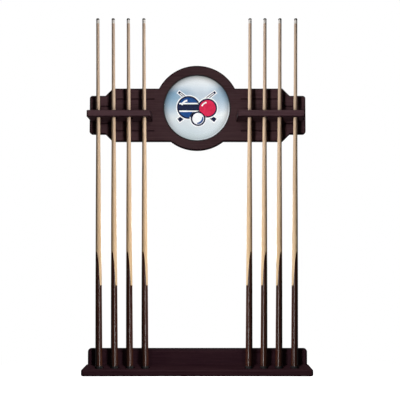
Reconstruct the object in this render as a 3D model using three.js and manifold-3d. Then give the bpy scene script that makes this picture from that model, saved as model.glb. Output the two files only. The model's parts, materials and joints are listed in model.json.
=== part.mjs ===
// Wall cue rack: an upper plaque with two cue rails, a lower butt shelf, and eight cues standing in them.
//
// Units are millimetres. +X is to the viewer's right, +Z is up and the wall is the plane y = 0, so the
// fronts face -Y. The origin is the centre of the plaque's wings, on the wall. The plaque and the shelf
// unit are two separate assemblies that the wall holds at the right distance apart.

import * as THREE from "three";
import { mergeVertices } from "three/addons/utils/BufferGeometryUtils.js";
import Module from "manifold-3d";

const wasm = await Module();
wasm.setup();

// ---------------------------------------------------------------------------- driving dimensions

const FIT_GAP = 0.3; // gap kept between pieces that touch
const BOARD_THICKNESS = 19;

// Upper plaque: stepped wings and a round centre.
const WING_HALF_WIDTH = 462;
const WING_HALF_HEIGHT = 114.3;
const WING_END_HALF_HEIGHT = 82.7;
const STEP_START_X = 363; // the 45 degree step runs outwards and inwards from here
const WING_CORNER_RADIUS = 12;
const MEDALLION_RADIUS = 183;
const MEDALLION_CENTRE_X = -2.8; // a touch off the wings' centre
const MEDALLION_CENTRE_Z = 30.3;
const PLAQUE_EDGE_ROUND = 3;

// Decorative V groove: a C on each wing, parallel to the outline.
const GROOVE_INSET = 45.5;
const GROOVE_INNER_X = 184.3;
const GROOVE_HALF_WIDTH = 3;
const GROOVE_FLAT_HALF_WIDTH = 0.4;
const GROOVE_DEPTH = 3;

// Emblem: a printed disc under a clear lens, held by a gasket in a blind pocket.
const POCKET_RADIUS = 144;
const POCKET_DEPTH = 8;
const EMBLEM_PANEL_THICKNESS = 3;
const EMBLEM_LENS_THICKNESS = 3;
const GASKET_WIDTH = 2.4;

// Cue rails: plates lying flat, screwed to the plaque by their rear edges.
const RAIL_THICKNESS = 27;
const RAIL_DEPTH = 95;
const RAIL_CENTRE_Z = -16.2;
const RAIL_SPANS = { left: [-455.3, -192.2], right: [166.5, 443.5] }; // set by eye, so not quite symmetrical
const RAIL_CORNER_RADIUS = 8;
const RAIL_EDGE_ROUND = 2.5;
const RAIL_HOLE_RADIUS = 14;
const RAIL_HOLE_FIRST_X = 218.5; // the holes lie further out than the recesses below them
const RAIL_HOLE_PITCH = 63.2;

// Lower unit: backboard and butt shelf.
const LOWER_BOARD_HALF_WIDTH = 461.5;
const LOWER_BOARD_TOP_Z = -991.1;
const LOWER_BOARD_CORNER_RADIUS = 14;
const LOWER_BOARD_EDGE_ROUND = 10;
const SHELF_TOP_Z = -1055.6;
const SHELF_THICKNESS = 27;
const SHELF_DEPTH = 105;
const SHELF_HALF_WIDTH = 467;
const SHELF_CORNER_RADIUS = 14;
const SHELF_EDGE_ROUND = 6.5;
const RECESS_RADIUS = 19;
const RECESS_DEPTH = 11;

// Cues: their places, and their radius at distances from the tip.
const CUE_LINE_FROM_BOARD = 65;
const CUE_FIRST_X = 211.5;
const CUE_PITCH = 62.1;
const CUE_LENGTH = 1457.5;
// Each foot's distance outwards from its recess's centre.
const CUE_FOOT_OUTSETS = { left: [1, 1.7, 1.2, 2.1], right: [-0.9, -2.4, -3.5, -1.9] };
// Each cue's outward travel for each millimetre of height.
const CUE_LEANS = { left: [0.008, 0.0096, 0.0106, 0.0117], right: [0.0066, 0.0079, 0.0091, 0.0106] };
const CUE_TAPER = [
  [0, 6.6],
  [200, 6.9],
  [400, 7.85],
  [550, 8.85],
  [685, 9.95],
  [785, 10.85],
  [965, 11.9],
  [1087, 12.7],
  [CUE_LENGTH, 14.35],
];
const TIP_HEIGHT = 7;
const FERRULE_HEIGHT = 16;
const BUMPER_HEIGHT = 20;
const TIP_CROWN = { shoulderHeight: 2.6, topHeight: 0.6, topShare: 0.6 };
const BUMPER_FOOT = { share: 0.7, height: 5 };

// Splice: the maple ends in a broad, blunt tongue between two dark points of the butt.
const SPLICE_LENGTH = 143.5;
const SPLICE_TOP_FROM_TIP = 969;
const TONGUE_TURN = THREE.MathUtils.degToRad(60);
const SPLICE_REACH = 30; // more than any cue's radius
const TONGUE_TAPER = [
  // [share of the splice's length from its top, half width]
  [0, 12.3],
  [0.1, 11.3],
  [0.36, 9.8],
  [0.6, 8.7],
  [1, 8.4],
];

// Hidden hardware: screws from behind the boards, and keyhole plates let into their backs.
const SCREW = {
  headRadius: 4.5,
  headHeight: 3.5,
  headRim: 0.8,
  shankRadius: 2.2,
  pointRadius: 0.9,
  pointHeight: 1,
  taperHeight: 8,
  length: 52,
  sink: 1, // its head lies below the board's back face
};
const RAIL_SCREW_INSET = 50;
const SHELF_SCREW_XS = [-400, -135, 135, 400];
const HANGER = {
  width: 24,
  height: 44,
  thickness: 2.4,
  corner: 3,
  slotRadius: 2.6,
  mouthRadius: 5.2,
  travel: 14, // from the mouth's centre up to the slot's end
};
const HANGER_SINK = 0.4; // the plates lie just below the boards' back faces
const HANGER_POCKET_DEPTH = 10;
const UPPER_HANGER = { x: 300, z: 60 };
const LOWER_HANGER = { x: 300, z: -1023 };

const CUE_SEGMENTS = 12;
const HOLE_SEGMENTS = 24;
const SCREW_SEGMENTS = 10;
const SLOT_SEGMENTS = 16;
const POCKET_SEGMENTS = 64;
const RIM_STEPS = 24;
const CORNER_STEPS = 4;
const OVERRUN = 20; // how far a cutting tool runs past what it cuts
const FAR = 2000; // beyond the whole rack

// ---------------------------------------------------------------------------- places worked out from them

const boardFrontY = -BOARD_THICKNESS;
const cueLineY = boardFrontY - CUE_LINE_FROM_BOARD;
const recessFloorZ = SHELF_TOP_Z - RECESS_DEPTH;
const shelfBottomZ = SHELF_TOP_Z - SHELF_THICKNESS;
const pocketFloorY = boardFrontY + POCKET_DEPTH;
const gasketOuterRadius = POCKET_RADIUS - FIT_GAP;
const gasketInnerRadius = gasketOuterRadius - GASKET_WIDTH;
const emblemRadius = gasketInnerRadius - FIT_GAP;
const panelBackY = pocketFloorY - FIT_GAP;
const panelFrontY = panelBackY - EMBLEM_PANEL_THICKNESS;
const lensBackY = panelFrontY - FIT_GAP;
const lensFrontY = lensBackY - EMBLEM_LENS_THICKNESS;
const sides = { left: -1, right: 1 };
const cueIndexes = [0, 1, 2, 3]; // on each side, counted outwards
const recessX = (side, index) => sides[side] * (CUE_FIRST_X + index * CUE_PITCH);
const railHoleX = (side, index) => sides[side] * (RAIL_HOLE_FIRST_X + index * RAIL_HOLE_PITCH);

// ---------------------------------------------------------------------------- materials

const finish = (color, roughness, metalness = 0) =>
  new THREE.MeshStandardMaterial({ color, roughness, metalness });

const materials = {
  espresso: finish(0x3a2c2f, 0.42),
  emblem: finish(0xd4dee4, 0.3, 0.4),
  lens: finish(0xf4f8fb, 0.06),
  gasket: finish(0x161112, 0.6),
  maple: finish(0xd2b48c, 0.35),
  darkButt: finish(0x1c1210, 0.25),
  ferrule: finish(0xf2efe6, 0.35),
  leather: finish(0x3b3430, 0.9),
  bumper: finish(0x1d1c1d, 0.8),
  steel: finish(0x9a9da0, 0.35, 0.9),
};
materials.lens.transparent = true;
materials.lens.opacity = 0.25;

// ---------------------------------------------------------------------------- solids

function toSolid(geometry) {
  const bare = geometry.clone();
  bare.deleteAttribute("normal");
  bare.deleteAttribute("uv");
  const merged = mergeVertices(bare, 1e-3);
  const mesh = new wasm.Mesh({
    numProp: 3,
    vertProperties: new Float32Array(merged.attributes.position.array),
    triVerts: new Uint32Array(merged.index.array),
  });
  return new wasm.Manifold(mesh);
}

function toGeometry(solid) {
  const mesh = solid.getMesh();
  const geometry = new THREE.BufferGeometry();
  geometry.setAttribute("position", new THREE.BufferAttribute(mesh.vertProperties, 3));
  geometry.setIndex(new THREE.BufferAttribute(mesh.triVerts, 1));
  geometry.computeVertexNormals();
  return geometry;
}

const cutAll = (solid, cutters) => cutters.reduce((rest, cutter) => rest.subtract(cutter), solid);

// A box given by its lowest and highest corners.
function boxBetween(low, high) {
  const [width, depth, height] = high.map((value, axis) => value - low[axis]);
  const geometry = new THREE.BoxGeometry(width, depth, height);
  geometry.translate(...high.map((value, axis) => (value + low[axis]) / 2));
  return toSolid(geometry);
}

// An upright cylinder between two heights.
function uprightCylinder(x, y, lowZ, highZ, radius) {
  const geometry = new THREE.CylinderGeometry(radius, radius, highZ - lowZ, HOLE_SEGMENTS);
  geometry.rotateX(Math.PI / 2);
  geometry.translate(x, y, (lowZ + highZ) / 2);
  return toSolid(geometry);
}

// A cylinder along Y from its back end towards the viewer.
function frontalCylinder(x, z, backY, frontY, radius, segments = HOLE_SEGMENTS) {
  const geometry = new THREE.CylinderGeometry(radius, radius, backY - frontY, segments);
  geometry.translate(x, (backY + frontY) / 2, z);
  return toSolid(geometry);
}

// A shape drawn in X and Z and extruded along Y, with only its front edge rounded.
function frontalPlate(shape, backY, frontY, round, bevelSegments) {
  const geometry = new THREE.ExtrudeGeometry(shape, {
    depth: backY - frontY - round + OVERRUN,
    bevelEnabled: true,
    bevelThickness: round,
    bevelSize: round,
    bevelOffset: -round,
    bevelSegments,
  });
  geometry.rotateX(Math.PI / 2);
  geometry.translate(0, backY + OVERRUN, 0);
  const behind = boxBetween([-FAR, backY, -FAR], [FAR, backY + 2 * OVERRUN, FAR]);
  return toSolid(geometry).subtract(behind);
}

// A plate lying flat: a shape drawn in X and Y, extruded up, with its edges rounded except at the rear,
// where it meets a board.
function lyingPlate(shape, lowZ, highZ, rearY, round) {
  const geometry = new THREE.ExtrudeGeometry(shape, {
    depth: highZ - lowZ - 2 * round,
    bevelEnabled: true,
    bevelThickness: round,
    bevelSize: round,
    bevelOffset: -round,
    bevelSegments: 2,
  });
  geometry.translate(0, 0, lowZ + round);
  const behind = boxBetween([-FAR, rearY, -FAR], [FAR, FAR, FAR]);
  return toSolid(geometry).subtract(behind);
}

// A solid of revolution about Z from [radius, height] points that start and end on the axis.
function turned(points, segments) {
  const profile = points.map(([radius, height]) => new THREE.Vector2(radius, height));
  const geometry = new THREE.LatheGeometry(profile, segments);
  geometry.rotateX(Math.PI / 2);
  return geometry;
}

// ---------------------------------------------------------------------------- outlines

// The upper or lower edge of a wing and its end, at a distance inside the plaque's outline. The points run
// from the inner end of the top edge round to the inner end of the bottom edge.
function wingPoints(side, inset, innerX) {
  const sign = sides[side];
  const halfHeight = WING_HALF_HEIGHT - inset;
  const endHalfHeight = WING_END_HALF_HEIGHT - inset;
  const stepShift = inset * (Math.SQRT2 - 1);
  const stepInnerX = STEP_START_X - stepShift;
  const stepOuterX = stepInnerX + halfHeight - endHalfHeight;
  const endX = WING_HALF_WIDTH - inset;
  const upper = [
    [innerX, halfHeight],
    [stepInnerX, halfHeight],
    [stepOuterX, endHalfHeight],
    [endX, endHalfHeight],
  ];
  const lower = upper.map(([x, z]) => [x, -z]).reverse();
  return [...upper, ...lower].map(([x, z]) => new THREE.Vector2(sign * x, z));
}

// Points along an arc, both ends included.
function arcPoints(centreX, centreZ, radius, startAngle, endAngle, steps) {
  return Array.from({ length: steps + 1 }, (_, step) => {
    const angle = THREE.MathUtils.lerp(startAngle, endAngle, step / steps);
    return new THREE.Vector2(centreX + radius * Math.cos(angle), centreZ + radius * Math.sin(angle));
  });
}

// A rounded corner between two sides. Corners are numbered 0 to 3, anticlockwise from the top right.
const cornerPoints = (centreX, centreZ, radius, number) =>
  arcPoints(centreX, centreZ, radius, (number * Math.PI) / 2, ((number + 1) * Math.PI) / 2, CORNER_STEPS);

// The plaque: two wings and the circle between them, which meets the wings' long edges.
function plaqueShape() {
  const angleAt = (z) => Math.asin((z - MEDALLION_CENTRE_Z) / MEDALLION_RADIUS);
  const topAngle = angleAt(WING_HALF_HEIGHT);
  const bottomAngle = angleAt(-WING_HALF_HEIGHT);
  const stepEndX = STEP_START_X + WING_HALF_HEIGHT - WING_END_HALF_HEIGHT;
  const cornerX = WING_HALF_WIDTH - WING_CORNER_RADIUS;
  const cornerZ = WING_END_HALF_HEIGHT - WING_CORNER_RADIUS;
  const rim = (start, end) =>
    arcPoints(MEDALLION_CENTRE_X, MEDALLION_CENTRE_Z, MEDALLION_RADIUS, start, end, RIM_STEPS);
  return new THREE.Shape([
    ...rim(topAngle, Math.PI - topAngle),
    new THREE.Vector2(-STEP_START_X, WING_HALF_HEIGHT),
    new THREE.Vector2(-stepEndX, WING_END_HALF_HEIGHT),
    ...cornerPoints(-cornerX, cornerZ, WING_CORNER_RADIUS, 1),
    ...cornerPoints(-cornerX, -cornerZ, WING_CORNER_RADIUS, 2),
    new THREE.Vector2(-stepEndX, -WING_END_HALF_HEIGHT),
    new THREE.Vector2(-STEP_START_X, -WING_HALF_HEIGHT),
    ...rim(Math.PI - bottomAngle, 2 * Math.PI + bottomAngle),
    new THREE.Vector2(STEP_START_X, -WING_HALF_HEIGHT),
    new THREE.Vector2(stepEndX, -WING_END_HALF_HEIGHT),
    ...cornerPoints(cornerX, -cornerZ, WING_CORNER_RADIUS, 3),
    ...cornerPoints(cornerX, cornerZ, WING_CORNER_RADIUS, 0),
    new THREE.Vector2(stepEndX, WING_END_HALF_HEIGHT),
    new THREE.Vector2(STEP_START_X, WING_HALF_HEIGHT),
  ]);
}

// A rectangle in plan, from behind its rear line to a front edge whose two corners are rounded.
function shelfShape(lowX, highX, rearY, frontY, corner) {
  return new THREE.Shape([
    new THREE.Vector2(highX, rearY + OVERRUN),
    new THREE.Vector2(lowX, rearY + OVERRUN),
    ...cornerPoints(lowX + corner, frontY + corner, corner, 2),
    ...cornerPoints(highX - corner, frontY + corner, corner, 3),
  ]);
}

// A rectangle with rounded top corners. It runs past the board's bottom edge, where it is cut square.
function lowerBoardShape() {
  const corner = LOWER_BOARD_CORNER_RADIUS;
  const cornerX = LOWER_BOARD_HALF_WIDTH - corner;
  const cornerZ = LOWER_BOARD_TOP_Z - corner;
  return new THREE.Shape([
    new THREE.Vector2(-LOWER_BOARD_HALF_WIDTH, shelfBottomZ - OVERRUN),
    new THREE.Vector2(LOWER_BOARD_HALF_WIDTH, shelfBottomZ - OVERRUN),
    ...cornerPoints(cornerX, cornerZ, corner, 0),
    ...cornerPoints(-cornerX, cornerZ, corner, 1),
  ]);
}

// ---------------------------------------------------------------------------- hardware

// A wood screw along Y: its countersunk head is at the back of a board and its point faces the viewer.
function screwGeometry(x, z, extra = 0) {
  const { headRadius, headHeight, headRim, shankRadius, length, sink } = SCREW;
  const { pointRadius, pointHeight, taperHeight } = SCREW;
  const geometry = turned(
    [
      [0, length + extra],
      [pointRadius + extra, length - pointHeight + extra],
      [shankRadius + extra, length - taperHeight + extra],
      [shankRadius + extra, headHeight],
      [headRadius + extra, headRim],
      [headRadius + extra, -extra],
      [0, -extra],
    ].reverse(),
    SCREW_SEGMENTS,
  );
  geometry.rotateX(Math.PI / 2);
  geometry.translate(x, -sink, z);
  return geometry;
}

// The room for a screw: its own shape grown by the fit gap, and open at the back of the board.
function screwHole(x, z) {
  const mouth = frontalCylinder(x, z, OVERRUN, -SCREW.sink, SCREW.headRadius + FIT_GAP, SCREW_SEGMENTS);
  return toSolid(screwGeometry(x, z, FIT_GAP)).add(mouth);
}

// A keyhole hanger: a steel plate with a round mouth and a slot above it.
function hangerPlate(x, z) {
  const { width, height, thickness, corner, slotRadius, mouthRadius, travel } = HANGER;
  const cornerX = width / 2 - corner;
  const cornerZ = height / 2 - corner;
  const plate = new THREE.Shape([
    ...cornerPoints(cornerX, cornerZ, corner, 0),
    ...cornerPoints(-cornerX, cornerZ, corner, 1),
    ...cornerPoints(-cornerX, -cornerZ, corner, 2),
    ...cornerPoints(cornerX, -cornerZ, corner, 3),
  ]);
  const geometry = new THREE.ExtrudeGeometry(plate, { depth: thickness, bevelEnabled: false });
  geometry.rotateX(Math.PI / 2);
  geometry.translate(x, -HANGER_SINK, z);
  const mouthZ = z - travel / 2;
  const slotZ = z + travel / 2;
  const mouth = frontalCylinder(x, mouthZ, OVERRUN, -OVERRUN, mouthRadius, SLOT_SEGMENTS);
  const slotEnd = frontalCylinder(x, slotZ, OVERRUN, -OVERRUN, slotRadius, SLOT_SEGMENTS);
  const slot = boxBetween([x - slotRadius, -OVERRUN, mouthZ], [x + slotRadius, OVERRUN, slotZ]);
  return cutAll(toSolid(geometry), [mouth, slotEnd, slot]);
}

// The room for a hanger: a shallow recess for the plate, and a deeper one behind its slot for a screw's head.
function hangerPockets(x, z) {
  const halfWidth = HANGER.width / 2 + FIT_GAP;
  const halfHeight = HANGER.height / 2 + FIT_GAP;
  const plateDepth = HANGER_SINK + HANGER.thickness + FIT_GAP;
  const plateRoom = boxBetween(
    [x - halfWidth, -plateDepth, z - halfHeight],
    [x + halfWidth, OVERRUN, z + halfHeight],
  );
  const reach = HANGER.travel / 2 + HANGER.mouthRadius;
  const headRoom = boxBetween(
    [x - HANGER.mouthRadius, -HANGER_POCKET_DEPTH, z - reach],
    [x + HANGER.mouthRadius, OVERRUN, z + reach],
  );
  return [plateRoom, headRoom];
}

const railScrews = Object.values(RAIL_SPANS).flatMap(([lowX, highX]) => [
  [lowX + RAIL_SCREW_INSET, RAIL_CENTRE_Z],
  [highX - RAIL_SCREW_INSET, RAIL_CENTRE_Z],
]);
const shelfScrews = SHELF_SCREW_XS.map((x) => [x, SHELF_TOP_Z - SHELF_THICKNESS / 2]);
const upperHangers = [-1, 1].map((sign) => [sign * UPPER_HANGER.x, UPPER_HANGER.z]);
const lowerHangers = [-1, 1].map((sign) => [sign * LOWER_HANGER.x, LOWER_HANGER.z]);

// ---------------------------------------------------------------------------- upper unit

// A V groove's cutter: a thin strip that its own bevel widens towards the board's face.
function grooveCutter(side) {
  const outer = wingPoints(side, GROOVE_INSET - GROOVE_FLAT_HALF_WIDTH, GROOVE_INNER_X);
  const inner = wingPoints(side, GROOVE_INSET + GROOVE_FLAT_HALF_WIDTH, GROOVE_INNER_X).reverse();
  const geometry = new THREE.ExtrudeGeometry(new THREE.Shape([...outer, ...inner]), {
    depth: 1,
    bevelEnabled: true,
    bevelThickness: GROOVE_DEPTH,
    bevelSize: GROOVE_HALF_WIDTH - GROOVE_FLAT_HALF_WIDTH,
    bevelSegments: 1,
  });
  geometry.rotateX(Math.PI / 2);
  geometry.translate(0, boardFrontY, 0);
  return toSolid(geometry);
}

function upperBackboard() {
  const plate = frontalPlate(plaqueShape(), 0, boardFrontY, PLAQUE_EDGE_ROUND, 2);
  const pocketZ = MEDALLION_CENTRE_Z;
  const pocketFront = boardFrontY - OVERRUN;
  return cutAll(plate, [
    frontalCylinder(MEDALLION_CENTRE_X, pocketZ, pocketFloorY, pocketFront, POCKET_RADIUS, POCKET_SEGMENTS),
    grooveCutter("left"),
    grooveCutter("right"),
    ...railScrews.map(([x, z]) => screwHole(x, z)),
    ...upperHangers.flatMap(([x, z]) => hangerPockets(x, z)),
  ]);
}

// A disc or ring facing the viewer, centred on the medallion.
function medallionRing(innerRadius, outerRadius, backY, frontY) {
  const shape = new THREE.Shape();
  shape.absarc(MEDALLION_CENTRE_X, MEDALLION_CENTRE_Z, outerRadius, 0, 2 * Math.PI, false);
  if (innerRadius > 0) {
    const hole = new THREE.Path();
    hole.absarc(MEDALLION_CENTRE_X, MEDALLION_CENTRE_Z, innerRadius, 0, 2 * Math.PI, true);
    shape.holes.push(hole);
  }
  const options = { depth: backY - frontY, bevelEnabled: false, curveSegments: POCKET_SEGMENTS / 2 };
  const geometry = new THREE.ExtrudeGeometry(shape, options);
  geometry.rotateX(Math.PI / 2);
  geometry.translate(0, backY, 0);
  return geometry;
}

function cueRail(side) {
  const [lowX, highX] = RAIL_SPANS[side];
  const rearY = boardFrontY - FIT_GAP;
  const frontY = boardFrontY - RAIL_DEPTH;
  const lowZ = RAIL_CENTRE_Z - RAIL_THICKNESS / 2;
  const highZ = RAIL_CENTRE_Z + RAIL_THICKNESS / 2;
  const shape = shelfShape(lowX, highX, rearY, frontY, RAIL_CORNER_RADIUS);
  const plate = lyingPlate(shape, lowZ, highZ, rearY, RAIL_EDGE_ROUND);
  return cutAll(plate, [
    ...cueIndexes.map((index) =>
      uprightCylinder(railHoleX(side, index), cueLineY, lowZ - OVERRUN, highZ + OVERRUN, RAIL_HOLE_RADIUS),
    ),
    ...railScrews.map(([x, z]) => screwHole(x, z)),
  ]);
}

// ---------------------------------------------------------------------------- lower unit

function lowerBackboard() {
  const plate = frontalPlate(lowerBoardShape(), 0, boardFrontY, LOWER_BOARD_EDGE_ROUND, 3);
  return cutAll(plate, [
    boxBetween([-FAR, -FAR, -FAR], [FAR, FAR, shelfBottomZ]),
    ...shelfScrews.map(([x, z]) => screwHole(x, z)),
    ...lowerHangers.flatMap(([x, z]) => hangerPockets(x, z)),
  ]);
}

function buttShelf() {
  const rearY = boardFrontY - FIT_GAP;
  const frontY = boardFrontY - SHELF_DEPTH;
  const shape = shelfShape(-SHELF_HALF_WIDTH, SHELF_HALF_WIDTH, rearY, frontY, SHELF_CORNER_RADIUS);
  const plate = lyingPlate(shape, shelfBottomZ, SHELF_TOP_Z, rearY, SHELF_EDGE_ROUND);
  const recess = (side, index) =>
    uprightCylinder(recessX(side, index), cueLineY, recessFloorZ, SHELF_TOP_Z + OVERRUN, RECESS_RADIUS);
  return cutAll(plate, [
    ...Object.keys(sides).flatMap((side) => cueIndexes.map((index) => recess(side, index))),
    ...shelfScrews.map(([x, z]) => screwHole(x, z)),
  ]);
}

// ---------------------------------------------------------------------------- cues

// Radius of a cue at a height above its foot, between the taper's stated points.
function cueRadiusAt(height) {
  const distance = CUE_LENGTH - height;
  const next = CUE_TAPER.findIndex(([from]) => from >= distance);
  const [highFrom, highRadius] = CUE_TAPER[Math.max(next, 1)];
  const [lowFrom, lowRadius] = CUE_TAPER[Math.max(next, 1) - 1];
  return THREE.MathUtils.mapLinear(distance, lowFrom, highFrom, lowRadius, highRadius);
}

// The tapering wood between two heights.
function cueWood(lowZ, highZ) {
  const between = CUE_TAPER.map(([from]) => CUE_LENGTH - from).filter((z) => z > lowZ + 1 && z < highZ - 1);
  const heights = [lowZ, ...between.reverse(), highZ];
  const side = heights.map((height) => [cueRadiusAt(height), height]);
  return toSolid(turned([[0, lowZ], ...side, [0, highZ]], CUE_SEGMENTS));
}

// The space of the maple: everything above the splice, and the tongue below it. The gap widens the space.
function mapleSpace(gap, turn) {
  const topZ = CUE_LENGTH - SPLICE_TOP_FROM_TIP;
  const tongue = TONGUE_TAPER.map(([share, half]) => [half + gap, topZ - share * SPLICE_LENGTH - gap]);
  const rightSide = [[SPLICE_REACH, CUE_LENGTH], [SPLICE_REACH, topZ - gap], ...tongue];
  const leftSide = rightSide.map(([x, z]) => [-x, z]).reverse();
  const outline = [...rightSide, ...leftSide].map(([x, z]) => new THREE.Vector2(x, z));
  const options = { depth: 2 * SPLICE_REACH, bevelEnabled: false };
  const geometry = new THREE.ExtrudeGeometry(new THREE.Shape(outline), options);
  geometry.rotateX(Math.PI / 2);
  geometry.translate(0, SPLICE_REACH, 0);
  geometry.rotateZ(turn);
  return toSolid(geometry);
}

// One cue, standing on z = 0. The turn sets which way its tongue faces.
function cuePieces(turn) {
  const ferruleTopZ = CUE_LENGTH - TIP_HEIGHT;
  const shaftTopZ = ferruleTopZ - FERRULE_HEIGHT;
  const tipRadius = cueRadiusAt(ferruleTopZ);
  const footRadius = cueRadiusAt(0);
  const shaftAndButt = cueWood(BUMPER_HEIGHT + FIT_GAP, shaftTopZ);
  const tip = [
    [0, ferruleTopZ + FIT_GAP],
    [tipRadius, ferruleTopZ + FIT_GAP],
    [tipRadius, CUE_LENGTH - TIP_CROWN.shoulderHeight],
    [tipRadius * TIP_CROWN.topShare, CUE_LENGTH - TIP_CROWN.topHeight],
    [0, CUE_LENGTH],
  ];
  const ferrule = [
    [0, shaftTopZ + FIT_GAP],
    [tipRadius, shaftTopZ + FIT_GAP],
    [tipRadius, ferruleTopZ],
    [0, ferruleTopZ],
  ];
  const bumper = [
    [0, 0],
    [footRadius * BUMPER_FOOT.share, 0],
    [footRadius, BUMPER_FOOT.height],
    [footRadius, BUMPER_HEIGHT],
    [0, BUMPER_HEIGHT],
  ];
  return {
    tip: [turned(tip, CUE_SEGMENTS), materials.leather],
    ferrule: [turned(ferrule, CUE_SEGMENTS), materials.ferrule],
    shaft: [toGeometry(shaftAndButt.intersect(mapleSpace(0, turn))), materials.maple],
    butt: [toGeometry(shaftAndButt.subtract(mapleSpace(FIT_GAP, turn))), materials.darkButt],
    bumper: [turned(bumper, CUE_SEGMENTS), materials.bumper],
  };
}

// A cue in its place: its foot in the recess, leaning outwards against the far side of its rail hole.
function cueGroup(side, index) {
  const sign = sides[side];
  const number = side === "left" ? cueIndexes.length - index : cueIndexes.length + 1 + index;
  const group = new THREE.Group();
  const footX = recessX(side, index) + sign * CUE_FOOT_OUTSETS[side][index];
  group.position.set(footX, cueLineY, recessFloorZ + FIT_GAP);
  group.rotation.y = sign * Math.atan(CUE_LEANS[side][index]);
  for (const [piece, [geometry, material]] of Object.entries(cuePieces(-sign * TONGUE_TURN))) {
    group.add(namedMesh(`cue_${number}_${piece}`, geometry, material));
  }
  return group;
}

// ---------------------------------------------------------------------------- assembly

function namedMesh(name, geometry, material) {
  const mesh = new THREE.Mesh(geometry, material);
  mesh.name = name;
  return mesh;
}

function upperUnit() {
  const group = new THREE.Group();
  const panel = medallionRing(0, emblemRadius, panelBackY, panelFrontY);
  const lens = medallionRing(0, emblemRadius, lensBackY, lensFrontY);
  const gasket = medallionRing(gasketInnerRadius, gasketOuterRadius, panelBackY, boardFrontY);
  group.add(
    namedMesh("upper_backboard", toGeometry(upperBackboard()), materials.espresso),
    namedMesh("emblem_panel", panel, materials.emblem),
    namedMesh("emblem_lens", lens, materials.lens),
    namedMesh("emblem_gasket", gasket, materials.gasket),
    namedMesh("cue_rail_left", toGeometry(cueRail("left")), materials.espresso),
    namedMesh("cue_rail_right", toGeometry(cueRail("right")), materials.espresso),
  );
  railScrews.forEach(([x, z], index) => {
    group.add(namedMesh(`rail_screw_${index + 1}`, screwGeometry(x, z), materials.steel));
  });
  upperHangers.forEach(([x, z], index) => {
    group.add(namedMesh(`upper_hanger_${index + 1}`, toGeometry(hangerPlate(x, z)), materials.steel));
  });
  return group;
}

function lowerUnit() {
  const group = new THREE.Group();
  group.add(
    namedMesh("lower_backboard", toGeometry(lowerBackboard()), materials.espresso),
    namedMesh("butt_shelf", toGeometry(buttShelf()), materials.espresso),
  );
  shelfScrews.forEach(([x, z], index) => {
    group.add(namedMesh(`shelf_screw_${index + 1}`, screwGeometry(x, z), materials.steel));
  });
  lowerHangers.forEach(([x, z], index) => {
    group.add(namedMesh(`lower_hanger_${index + 1}`, toGeometry(hangerPlate(x, z)), materials.steel));
  });
  return group;
}

const cueRack = new THREE.Group();
cueRack.add(upperUnit(), lowerUnit());
for (const side of Object.keys(sides)) {
  for (const index of cueIndexes) {
    cueRack.add(cueGroup(side, index));
  }
}

export default cueRack;
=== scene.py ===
"""Wall cue rack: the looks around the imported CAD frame.

Shapes are drawn in millimetres in the frame's own axes (+X right, +Z up, fronts facing -Y) and turned into
metres when a mesh is made. Places come from the CAD nodes' boxes; the rest are a few design dimensions.
"""

import json
import math

import bmesh
import bpy
from mathutils import Matrix, Vector

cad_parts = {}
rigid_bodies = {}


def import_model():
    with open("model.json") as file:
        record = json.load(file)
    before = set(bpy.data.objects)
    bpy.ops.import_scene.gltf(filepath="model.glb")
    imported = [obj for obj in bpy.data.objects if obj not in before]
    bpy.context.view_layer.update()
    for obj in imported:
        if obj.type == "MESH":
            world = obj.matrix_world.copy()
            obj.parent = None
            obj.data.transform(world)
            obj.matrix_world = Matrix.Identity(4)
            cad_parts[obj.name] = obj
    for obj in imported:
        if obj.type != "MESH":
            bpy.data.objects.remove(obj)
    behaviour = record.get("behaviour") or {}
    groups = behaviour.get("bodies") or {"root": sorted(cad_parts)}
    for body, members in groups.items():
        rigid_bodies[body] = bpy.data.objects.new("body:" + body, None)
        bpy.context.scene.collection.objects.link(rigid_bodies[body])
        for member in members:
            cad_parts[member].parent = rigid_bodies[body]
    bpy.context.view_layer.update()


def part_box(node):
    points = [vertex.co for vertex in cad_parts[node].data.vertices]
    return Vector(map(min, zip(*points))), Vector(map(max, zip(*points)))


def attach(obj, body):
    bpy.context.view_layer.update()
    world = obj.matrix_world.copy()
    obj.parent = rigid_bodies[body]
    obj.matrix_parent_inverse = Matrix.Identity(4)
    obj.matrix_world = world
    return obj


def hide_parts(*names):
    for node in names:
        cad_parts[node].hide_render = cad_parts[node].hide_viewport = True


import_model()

MM = 0.001
SQRT2 = math.sqrt(2)


def box_mm(node):
    """The lowest and highest corner of a CAD node, in millimetres."""
    low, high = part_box(node)
    return low / MM, high / MM


# ---------------- dimensions

# Places and sizes read from the frame.
plaque_low, plaque_high = box_mm("upper_backboard")
panel_low, panel_high = box_mm("emblem_panel")
lens_low, lens_high = box_mm("emblem_lens")
gasket_low, gasket_high = box_mm("emblem_gasket")
board_low, board_high = box_mm("lower_backboard")
shelf_low, shelf_high = box_mm("butt_shelf")

FRONT_Y = plaque_low.y
WING_HALF_WIDTH = plaque_high.x
DISC_X = (panel_low.x + panel_high.x) / 2
DISC_Z = (panel_low.z + panel_high.z) / 2
DISC_RADIUS = (panel_high.x - panel_low.x) / 2
DISC_FRONT = panel_low.y + 0.3
MEDALLION_RADIUS = plaque_high.z - DISC_Z
CUE_Y = (box_mm("cue_1_bumper")[0].y + box_mm("cue_1_bumper")[1].y) / 2

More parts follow.
